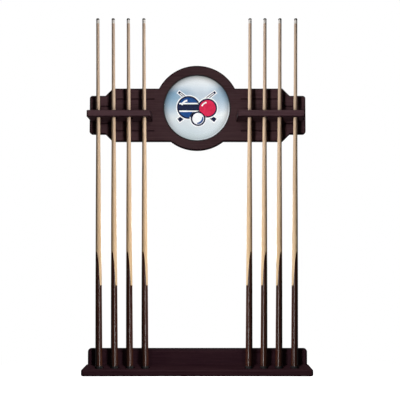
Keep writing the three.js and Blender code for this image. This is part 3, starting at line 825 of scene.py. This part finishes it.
def groove_cutter(sign):
    """A V groove's cutter, mitred round the C."""
    half_section = [(GROOVE_HALF_WIDTH + 1, FRONT_Y - 1), (GROOVE_HALF_WIDTH, FRONT_Y + 0.02)]
    half_section.append((GROOVE_FLOOR_HALF_WIDTH, FRONT_Y + GROOVE_DEPTH))
    section = [(-shift, y) for shift, y in half_section] + half_section[::-1]
    lines = [frontal(wing_line(sign, GROOVE_INSET + shift), y) for shift, y in section]
    return mesh_of("groove", *loft([list(points) for points in zip(*lines)]))


def painted_shade_loft(name, rings, painted_shades):
    """A loft with one painted-shade value for each ring."""
    vertices, faces = loft(rings)
    values = [painted_shade for ring, painted_shade in zip(rings, painted_shades) for _ in ring]
    return mesh_of(name, vertices, faces, values)


def plaque_plate():
    """The plaque before it is cut: painted shade covers its side and rounded front edge fully, as a dark
    outline that fades on the face.
    """
    levels = [(BACK_EASE, 0, 0.0), (0, -BACK_EASE, 1.0)]
    levels += [(inset, FRONT_Y + depth, 1.0) for inset, depth in round_over(PLAQUE_ROUND, ROUND_STEPS)]
    levels += [(PLAQUE_ROUND + EDGE_DARK, FRONT_Y, 1.0), (PLAQUE_ROUND + EDGE_DARK + EDGE_FADE, FRONT_Y, 0.0)]
    rings = [frontal(plaque_outline(inset), y) for inset, y, _ in levels]
    return painted_shade_loft("upper_plaque", rings, [painted_shade for _, _, painted_shade in levels])


def pocket_cutter():
    """The round pocket behind the emblem, with an eased corner at its floor and a rounded lip."""
    floor, outside = FRONT_Y + POCKET_DEPTH, FRONT_Y - 8
    profile = [(0, floor), (POCKET_RADIUS - 0.6, floor), (POCKET_RADIUS, floor - 0.6)]
    profile += rounded_lip(POCKET_RADIUS, POCKET_LIP, FRONT_Y, -1)
    profile += [(POCKET_RADIUS + POCKET_LIP, outside), (0, outside)]
    return mesh_of("pocket", *lathe(profile, DISC_STEPS, "Y", (DISC_X, 0, DISC_Z)))


def darken_groove(mesh):
    """Painted shade along the grooves' floors: their vertices take the groove's dark value."""
    floor = (FRONT_Y + GROOVE_DEPTH) * MM
    for vertex, painted_shade in zip(mesh.vertices, mesh.attributes["edge"].data):
        if abs(vertex.co.y - floor) < 0.05 * MM:
            painted_shade.value = GROOVE_SHADE


def add_plaque():
    cutters = [pocket_cutter(), groove_cutter(-1), groove_cutter(1)]
    cutters += back_cutters(SCREWS["rail"], HANGERS["upper"])
    plaque = cut(plaque_plate(), cutters)
    darken_groove(plaque)
    add_piece("upper_plaque", plaque, upper_wood, ["upper_backboard"])


def plan_outline(low, high, radius, inset):
    """A lying plate's plan, a distance inside its ends and front edge."""
    return [
        (high.x - inset, high.y),
        (low.x + inset, high.y),
        *corner(low.x + radius, low.y + radius, radius - inset, 2),
        *corner(high.x - radius, low.y + radius, radius - inset, 3),
    ]


def fade(distance, length):
    """One up to a distance of nothing, then down to nothing over a length."""
    return min(1.0, max(0.0, 1 - distance / length))


def lying_plate(name, low, high, radius, edge_round, dark_ends):
    """A plate lying flat, its ends and front edge rounded above and below, with painted shade as a dark line
    along its rounded foot and at the ends named."""
    over = round_over(edge_round, ROUND_STEPS)
    levels = [(edge_round + EDGE_DARK, low.z, 0.0)]
    for inset, depth in reversed(over):
        levels.append((inset, low.z + depth, FOOT_SHADE * fade(depth - FOOT_LINE, EDGE_FADE)))
    levels.append((0, low.z + edge_round + EDGE_FADE, 0.0))
    levels += [(inset, high.z - depth, 0.0) for inset, depth in over]
    levels.append((edge_round + EDGE_DARK, high.z, 0.0))
    rings = [flat(plan_outline(low, high, radius, inset), z) for inset, z, _ in levels]
    values = [0.0] * len(rings[0])
    for ring, (_, _, painted_shade) in zip(rings[1:-1], levels[1:-1]):
        for x, _, _ in ring:
            from_end = min(abs(x - end) for end in dark_ends)
            values.append(max(painted_shade, fade(from_end - END_DARK, END_FADE)))
    values += [0.0] * len(rings[-1])
    return mesh_of(name, *loft(rings), values)


def hole_cutter(x, low_z, high_z):
    """A cue's upright hole in a rail, with rounded lips above and below."""
    wide = RAIL_HOLE_RADIUS + RAIL_HOLE_LIP
    profile = [(0, low_z - 4), (wide, low_z - 4)]
    profile += reversed(rounded_lip(RAIL_HOLE_RADIUS, RAIL_HOLE_LIP, low_z, -1))
    profile += rounded_lip(RAIL_HOLE_RADIUS, RAIL_HOLE_LIP, high_z, 1)
    profile += [(wide, high_z + 4), (0, high_z + 4)]
    return mesh_of("hole", *lathe(profile, 56, "Z", (x, CUE_Y, 0)))


def add_rails():
    for side, sign in (("left", -1), ("right", 1)):
        node = f"cue_rail_{side}"
        low, high = box_mm(node)
        outer_end = low.x if sign < 0 else high.x
        plate = lying_plate(f"rail_{side}", low, high, RAIL_CORNER, RAIL_ROUND, [outer_end])
        holes = [sign * (RAIL_HOLE_FIRST_X + index * RAIL_HOLE_PITCH) for index in range(4)]
        cutters = [hole_cutter(x, low.z, high.z) for x in holes]
        cutters += [screw_hole(x, z) for x, z in SCREWS["rail"] if low.x < x < high.x]
        add_piece(f"rail_{side}", cut(plate, cutters), rail_wood, [node])


def disc_lathe(name, profile):
    return mesh_of(name, *lathe(profile, DISC_STEPS, "Y", (DISC_X, 0, DISC_Z)))


def add_disc():
    """The printed disc."""
    back = panel_high.y
    profile = [(0, back), (DISC_RADIUS - 0.4, back), (DISC_RADIUS, back - 0.4)]
    profile += [(DISC_RADIUS, DISC_FRONT + 0.5), (DISC_RADIUS - 0.5, DISC_FRONT)]
    profile += [(DISC_RADIUS * 0.6, DISC_FRONT), (0, DISC_FRONT)]
    disc = disc_lathe("emblem_disc", profile)
    add_piece("emblem_disc", disc, silver_material, ["emblem_panel"])


def add_lens():
    """The clear cover, slightly domed."""
    front, back = lens_low.y, lens_high.y - 0.4
    turns = [0.97 * a for a in quarter_turn(12)]
    dome = [(DISC_RADIUS * math.sin(a), front + LENS_BULGE * (1 - math.cos(a))) for a in turns]
    lens = disc_lathe("lens_cover", [*dome, (DISC_RADIUS, back - 0.2), (DISC_RADIUS - 0.4, back), (0, back)])
    add_piece("lens_cover", lens, acrylic_material, ["emblem_lens"])


def add_gasket():
    """The rubber ring, L-shaped in section, whose lip covers the lens's edge."""
    outer = (gasket_high.x - gasket_low.x) / 2
    stem, lip = outer - GASKET_STEM, outer - GASKET_LIP
    back, front, under = gasket_high.y, gasket_low.y, lens_low.y - 0.1
    section = [(outer, back), (outer, front + 0.7), (outer - 0.4, front + 0.2), (outer - 1.1, front)]
    section += [(lip + 1.1, front), (lip + 0.3, front + 0.3), (lip, front + 0.8)]
    section += [(lip, under), (stem, under), (stem, back)]
    rings = [frontal(circle(DISC_X, DISC_Z, radius, DISC_STEPS), y) for radius, y in section]
    vertices = [point for ring in rings for point in ring]
    faces = [tuple(at % len(vertices) for at in face) for face in side_faces(len(rings) + 1, DISC_STEPS)]
    gasket = mesh_of("gasket_ring", vertices, faces)
    add_piece("gasket_ring", gasket, gasket_material, ["emblem_gasket"])


# ---------------- emblem art

ART_LAYER = 0.07  # each printed layer's thickness
ART_CUE_CENTRE = (0, 8)
ART_CUE = (100, 9.0, 5.0)  # half length, and half width at the butt and at the tip
ART_SHAFT = (58, 3.2, 1.8)
ART_SHAFT_SHIFT = 34
ART_CUE_EDGE = 4.0
ART_BALLS = (
    ("blue", (-36, 3), 43, blue_ink),
    ("red", (45, 0), 35, red_ink),
    ("cue", (5, -46), 25, white_ink),
)


def art_layer(name, outline, level, material):
    """A thin printed shape on the disc, from (right, up) points about its centre."""
    placed = [(DISC_X + right, DISC_Z + up) for right, up in outline]
    mesh = prism(name, placed, DISC_FRONT, DISC_FRONT - ART_LAYER * (level + 1))
    add_piece(name, mesh, material)


def cue_outline(along, middle, half_length, butt_half, tip_half, grow=0.0):
    """A tapered bar: a cue drawn from its butt, low, to its tip, high."""
    across = Vector((-along.y, along.x))
    butt = middle - along * (half_length + grow)
    tip = middle + along * (half_length + grow)
    butt_side, tip_side = across * (butt_half + grow), across * (tip_half + grow)
    return [tuple(point) for point in (butt - butt_side, tip - tip_side, tip + tip_side, butt + butt_side)]


def add_art_cue(name, lean):
    """One crossed cue: a white edge, the cue, and its pale shaft."""
    along = Vector((math.cos(math.radians(lean)), math.sin(math.radians(lean))))
    middle = Vector(ART_CUE_CENTRE)
    art_layer(f"art_cue_{name}_edge", cue_outline(along, middle, *ART_CUE, ART_CUE_EDGE), 0, white_ink)
    art_layer(f"art_cue_{name}", cue_outline(along, middle, *ART_CUE), 1, navy_ink)
    shaft_middle = middle + along * ART_SHAFT_SHIFT
    art_layer(f"art_cue_{name}_shaft", cue_outline(along, shaft_middle, *ART_SHAFT), 2, white_ink)


def facing_arcs(place, radius, half_angle):
    """The outline of a band across a ball, between two arcs of its rim."""
    half = math.radians(half_angle)
    right = arc(*place, radius, -half, half, 12)
    return right + arc(*place, radius, math.pi - half, math.pi + half, 12)


def add_art():
    """A club device of no club: crossed cues behind three balls."""
    add_art_cue("a", 38)
    add_art_cue("b", 142)
    for layer, (name, place, radius, ink) in enumerate(ART_BALLS, 3):
        art_layer(f"art_{name}_halo", circle(*place, radius + 11, 72), layer - 1, white_ink)
        art_layer(f"art_{name}_ring", circle(*place, radius + 6.5, 72), layer, navy_ink)
        art_layer(f"art_{name}_ball", circle(*place, radius, 72), layer + 1, ink)
    blue_place, blue_radius = ART_BALLS[0][1:3]
    for name, half_angle, layer, ink in (("stripe", 27, 5, white_ink), ("band", 18, 6, navy_ink)):
        art_layer(f"art_blue_{name}", facing_arcs(blue_place, blue_radius + 0.3, half_angle), layer, ink)
    for name, place, radius, _ in ART_BALLS[:2]:
        glint = arc(*place, radius * 0.80, math.radians(100), math.radians(160), 12)
        glint += arc(*place, radius * 0.62, math.radians(160), math.radians(100), 12)
        art_layer(f"art_{name}_glint", glint, 7, white_ink)
    (right, up), radius = ART_BALLS[2][1:3]
    shade = arc(right, up, radius * 0.92, math.radians(-100), math.radians(20), 16)
    shade += arc(right - 6, up + 6, radius * 0.92, math.radians(5), math.radians(-85), 16)
    art_layer("art_cue_shade", shade, 7, blue_ink)


# ---------------- lower unit


def lower_outline(inset):
    """The lower board's outline, a distance inside its ends and top: square below, rounded above."""
    radius = BOARD_CORNER - inset
    return [
        (board_low.x + inset, board_low.z),
        (board_high.x - inset, board_low.z),
        *corner(board_high.x - BOARD_CORNER, board_high.z - BOARD_CORNER, radius, 0),
        *corner(board_low.x + BOARD_CORNER, board_high.z - BOARD_CORNER, radius, 1),
    ]


def add_lower_board():
    """The lower board: a quarter-round edge that ends in a small step up to the face."""
    step_y = FRONT_Y + MOULD_STEP
    # Painted shade: each level's last value darkens the side and quarter round as a dark outline, fading out
    # at the step.
    levels = [(BACK_EASE, 0, 0.0), (0, -BACK_EASE, 1.0)]
    for step, (inset, depth) in enumerate(round_over(MOULD_REACH, 8)):
        levels.append((inset, step_y + depth, 1.0 if step < 3 else 0.9 - step * 0.09))
    levels += [(MOULD_WIDTH - 0.9, step_y, 0.5), (MOULD_WIDTH - 0.5, step_y - 0.5, 0.0)]
    levels += [(MOULD_WIDTH - 0.2, FRONT_Y + 0.35, 0.0)]
    levels += [(MOULD_WIDTH + beyond, FRONT_Y, 0.0) for beyond in (0.3, 2.5)]
    rings = [frontal(lower_outline(inset), y) for inset, y, _ in levels]
    plate = painted_shade_loft("lower_board", rings, [painted_shade for _, _, painted_shade in levels])
    board = cut(plate, back_cutters(SCREWS["shelf"], HANGERS["lower"]))
    add_piece("lower_board", board, lower_wood, ["lower_backboard"])


def recess_cutter(x):
    """A shallow round recess with a rounded lip and a small fillet at its floor."""
    top, radius = shelf_high.z, RECESS_RADIUS
    floor = top - RECESS_DEPTH
    profile = [(0, floor), (radius - 1.5, floor), (radius - 0.4, floor + 0.4), (radius, floor + 1.5)]
    profile += rounded_lip(radius, RECESS_LIP, top, 1)
    profile += [(radius + RECESS_LIP, top + 4), (0, top + 4)]
    return mesh_of("recess", *lathe(profile, 64, "Z", (x, CUE_Y, 0)))


def add_shelf():
    ends = [shelf_low.x, shelf_high.x]
    plate = lying_plate("butt_ledge", shelf_low, shelf_high, SHELF_CORNER, SHELF_ROUND, ends)
    places = [sign * (CUE_FIRST_X + index * CUE_PITCH) for sign in (-1, 1) for index in range(4)]
    cutters = [recess_cutter(x) for x in places] + [screw_hole(x, z) for x, z in SCREWS["shelf"]]
    add_piece("butt_ledge", cut(plate, cutters), shelf_wood, ["butt_shelf"])


# ---------------- cues


def stated_radius(distance):
    """The taper's radius at a distance from the tip, straight between its stated points."""
    for (low, low_radius), (high, high_radius) in zip(CUE_TAPER, CUE_TAPER[1:]):
        if distance <= high:
            return low_radius + (high_radius - low_radius) * (distance - low) / (high - low)
    return CUE_TAPER[-1][1]


def cue_radius(height):
    """The cue's radius at a height above its foot, with the taper's bends smoothed out."""
    distance = CUE_LENGTH - height
    reach = min(60, distance, height)
    ends = stated_radius(distance - reach) + stated_radius(distance + reach)
    return (ends + 2 * stated_radius(distance)) / 4


def tongue_share(half_width):
    """How far down the splice the tongue has narrowed to a half width, as a share of the splice."""
    if half_width >= TONGUE_TAPER[0][1]:
        return 0.0
    for (low, wide), (high, narrow) in zip(TONGUE_TAPER, TONGUE_TAPER[1:]):
        if half_width >= narrow:
            return low + (high - low) * (wide - half_width) / (wide - narrow)
    return 1.0


def splice_height(angle):
    """The height of the joint between maple and butt at an angle round the cue, from the tongue's side."""
    height = SPLICE_TOP
    for _ in range(4):
        off = abs(cue_radius(height) * math.cos(angle))
        height = SPLICE_TOP - tongue_share(off) * SPLICE_LENGTH
    return height


def cue_ring(heights, turn):
    """A ring of points on the cue's surface, one height for each column."""
    ring = []
    for column, height in enumerate(heights):
        angle = 2 * math.pi * column / CUE_COLUMNS + turn
        radius = cue_radius(height)
        ring.append((radius * math.cos(angle), radius * math.sin(angle), height))
    return ring


def joint_cap(base):
    """Faces across the joint: chords between the columns on either side of the tongue."""
    half = CUE_COLUMNS // 2
    far = base + CUE_COLUMNS
    faces = [(base, base + 1, far - 1)]
    for column in range(1, half - 1):
        faces.append((base + column, base + column + 1, far - column - 1, far - column))
    faces.append((base + half - 1, base + half, base + half + 1))
    return faces


def wood_mesh(name, joint_heights, even_heights, turn):
    """Shaft or butt: rings at even heights, then rings that blend into the joint's curve."""
    last_even = even_heights[-1]
    rings = [cue_ring([height] * CUE_COLUMNS, turn) for height in even_heights]
    for step in range(1, BLEND_STEPS + 1):
        share = step / BLEND_STEPS
        rings.append(cue_ring([last_even + (joint - last_even) * share for joint in joint_heights], turn))
    vertices, faces = loft(rings)
    return mesh_of(name, vertices, faces[:-1] + joint_cap(len(vertices) - CUE_COLUMNS))


def heights_between(start, end, step):
    count = max(2, round(abs(end - start) / step))
    return [start + (end - start) * index / count for index in range(count + 1)]


def tip_profile(radius):
    """The tip: straight at its side, domed above."""
    low, crown = CUE_LENGTH - TIP_HEIGHT + 0.1, CUE_LENGTH - TIP_CROWN
    turns = quarter_turn(8)[:-1]
    dome = [(radius * 0.985 * math.cos(a), crown + TIP_CROWN * math.sin(a)) for a in turns]
    return [(0, low), (radius - 0.15, low), (radius + 0.05, low + 1.2), *dome, (0, CUE_LENGTH)]


def ferrule_profile(radius):
    """The ferrule: a sleeve with a hairline joint below and an eased edge under the tip."""
    top = CUE_LENGTH - TIP_HEIGHT
    low = top - FERRULE_HEIGHT + 0.1
    profile = [(0, low), (radius - 0.12, low), (radius, low + 0.15), (radius, low + 7)]
    return [*profile, (radius, top - 0.4), (radius - 0.3, top), (0, top)]


def bumper_profile(radius):
    """The bumper: dimpled below, rounded at its foot, with a moulded line and an eased top."""
    centre, top = radius - BUMPER_ROUND, BUMPER_HEIGHT - 0.05
    profile = [(0, 0.9), (2.6, 0.9), (3.2, 0.0)]
    for a in quarter_turn(6):
        profile.append((centre + BUMPER_ROUND * math.sin(a), BUMPER_ROUND * (1 - math.cos(a))))
    profile += [(radius, 9.0), (radius - 0.5, 9.6), (radius - 0.5, 10.4), (radius, 11.0)]
    return [*profile, (radius, BUMPER_HEIGHT - 0.6), (radius - 0.4, top), (0, top)]


def add_cue(number):
    """One cue, built standing on its foot and then leaned as its CAD pieces are."""
    body = f"cue_{number}"
    foot_low, foot_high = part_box(f"{body}_bumper")
    tip_low, tip_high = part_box(f"{body}_tip")
    foot = Vector(((foot_low.x + foot_high.x) / 2, (foot_low.y + foot_high.y) / 2, foot_low.z))
    middle_rise = (tip_low.z + tip_high.z) / 2 - (foot_low.z + foot_high.z) / 2
    lean = math.atan(((tip_low.x + tip_high.x) / 2 - foot.x) / middle_rise)
    matrix = Matrix.Translation(foot) @ Matrix.Rotation(lean, 4, "Y")
    turn = -TONGUE_TURN if foot.x > 0 else TONGUE_TURN
    joint = [splice_height(2 * math.pi * column / CUE_COLUMNS) for column in range(CUE_COLUMNS)]
    shaft_top = CUE_LENGTH - TIP_HEIGHT - FERRULE_HEIGHT
    shaft = wood_mesh(f"{body}_maple", joint, heights_between(shaft_top, SPLICE_TOP + 4, 26), turn)
    splice_foot = SPLICE_TOP - SPLICE_LENGTH
    butt = wood_mesh(f"{body}_stained", joint, heights_between(BUMPER_HEIGHT, splice_foot - 4, 26), turn)
    offset = (number * 0.37, number * 0.21, number * 0.53)
    tip_radius = cue_radius(CUE_LENGTH - TIP_HEIGHT)
    tip = mesh_of(f"{body}_leather", *lathe(tip_profile(tip_radius), 40))
    ferrule = mesh_of(f"{body}_fibre", *lathe(ferrule_profile(tip_radius), 40))
    bumper = mesh_of(f"{body}_rubber", *lathe(bumper_profile(cue_radius(0)), 48))
    for name, mesh, material, slot, node in (
        ("leather", tip, tip_material, "leather_tip", "tip"),
        ("fibre", ferrule, ferrule_material, "ferrule", "ferrule"),
        ("maple", shaft, maple(f"maple_{number}", offset), "maple", "shaft"),
        ("stained", butt, dark_butt(f"dark_butt_{number}", offset), "dark_butt", "butt"),
        ("rubber", bumper, bumper_material, "rubber", "bumper"),
    ):
        add_piece(f"{body}_{name}", mesh, material, [f"{body}_{node}"], body, matrix)


# ---------------- stage


def area_light(name, place, aim, size, power, receivers=None, spread=180, matt=True, gloss=True):
    """A rectangular light. With receivers, it lights only them, though everything still shades it. It can be
    kept to matt light or to gloss."""
    data = bpy.data.lights.new(name, "AREA")
    data.shape = "RECTANGLE"
    data.size, data.size_y = size
    data.energy = power
    data.spread = math.radians(spread)
    light = bpy.data.objects.new(name, data)
    light.location = place
    light.rotation_euler = (Vector(aim) - Vector(place)).to_track_quat("-Z", "Y").to_euler()
    light.visible_camera = False
    light.visible_diffuse = matt
    light.visible_glossy = gloss
    light.light_linking.receiver_collection = receivers
    bpy.context.scene.collection.objects.link(light)


def group_of(name, starts):
    """A collection of the pieces whose names start in one of the given ways."""
    group = bpy.data.collections.new(name)
    for made in bpy.context.scene.objects:
        if made.type == "MESH" and made.name.startswith(starts):
            group.objects.link(made)
    return group


def on_side(place, sign):
    """A right-hand place, or its mirror image on the left."""
    return (sign * place[0], place[1], place[2])


def add_lights():
    """Softboxes in crossed pairs from either side of the camera for each unit, upright strips across each
    group of cues, and a pair behind that grazes the boards' ends."""
    upper, lower = group_of("upper_unit", UPPER_PIECES), group_of("lower_unit", LOWER_PIECES)
    left_cues = group_of("left_cues", tuple(f"cue_{number}_" for number in (1, 2, 3, 4)))
    right_cues = group_of("right_cues", tuple(f"cue_{number}_" for number in (5, 6, 7, 8)))
    units = ((upper, 0.0, UPPER_POWER, UPPER_BANK), (lower, LOWER_AIM_Z, LOWER_POWER, LOWER_BANK))
    for side, sign, cues in (("left", -1, right_cues), ("right", 1, left_cues)):
        for unit, aim_z, power, bank in units:
            for height, tall, share in bank:
                name, place = f"{unit.name}_{side}_{height}", (sign * BOX_X, BOX_Y, height)
                aim = (-sign * BOX_AIM_X, 0, aim_z)
                area_light(name, place, aim, (BOX_WIDTH, tall), power * share, unit, BOX_SPREAD)
        strip, middle = on_side(STRIP_PLACE, sign), on_side(CUE_MIDDLE, -sign)
        area_light(f"cue_strip_{side}", strip, middle, STRIP_SIZE, STRIP_POWER, cues, gloss=False)
        for place, power in SHINES:
            name = f"cue_shine_{side}_{power}"
            area_light(name, on_side(place, sign), middle, SHINE_SIZE, power, cues, matt=False)
    boards = group_of("boards", UPPER_PIECES + LOWER_PIECES)
    for side, sign in (("left", -1), ("right", 1)):
        place, aim = on_side(REAR_PLACE, sign), on_side(REAR_AIM, sign)
        area_light(f"rear_{side}", place, aim, REAR_SIZE, REAR_POWER, boards)
    area_light("back_light", (0.0, 2.6, -0.4), (0, 0, -0.4), (0.6, 0.6), BACK_POWER)


def add_world():
    """A white surround for the camera, and dimmer ones for light and for reflections."""
    world = bpy.data.worlds.new("studio")
    bpy.context.scene.world = world
    world.use_nodes = True
    tree = world.node_tree
    tree.nodes.clear()
    output = tree.nodes.new("ShaderNodeOutputWorld")
    path = tree.nodes.new("ShaderNodeLightPath")
    chosen = None
    for ray, strength in ((None, WORLD_DIFFUSE), ("Is Glossy Ray", WORLD_GLOSSY), ("Is Camera Ray", 1.0)):
        glow = tree.nodes.new("ShaderNodeBackground")
        glow.inputs["Color"].default_value = (1, 1, 1, 1)
        glow.inputs["Strength"].default_value = strength
        if ray is None:
            chosen = glow.outputs[0]
            continue
        mixed = tree.nodes.new("ShaderNodeMixShader")
        tree.links.new(path.outputs[ray], mixed.inputs[0])
        tree.links.new(chosen, mixed.inputs[1])
        tree.links.new(glow.outputs[0], mixed.inputs[2])
        chosen = mixed.outputs[0]
    tree.links.new(chosen, output.inputs["Surface"])


def add_floor():
    """A pale floor well below the rack."""
    pale = Shader("pale_floor", roughness=0.8, specular=0.1)
    grain = pale.noise(pale.place((3, 3, 3)), detail=3)
    pale.feed("Base Color", pale.ramp(grain, [(0.3, grey(0.86)), (0.7, grey(0.9))]))
    pale.set("Emission Color", (1, 1, 1, 1))
    pale.set("Emission Strength", 1.0)
    rim = circle(0, 0, FLOOR_RADIUS, 64)
    mesh = mesh_of("floor", *loft([flat(rim, FLOOR_TOP - FLOOR_THICKNESS), flat(rim, FLOOR_TOP)]))
    mesh.materials.append(pale.material)
    floor = bpy.data.objects.new("floor", mesh)
    floor.visible_diffuse = False
    floor.visible_glossy = False
    bpy.context.scene.collection.objects.link(floor)


# ---------------- assembly

add_plaque()
add_rails()
add_disc()
add_lens()
add_gasket()
add_art()
add_lower_board()
add_shelf()
add_hardware()
for cue_number in range(1, 9):
    add_cue(cue_number)

add_lights()
add_world()
add_floor()
bpy.context.scene.view_settings.view_transform = "Standard"
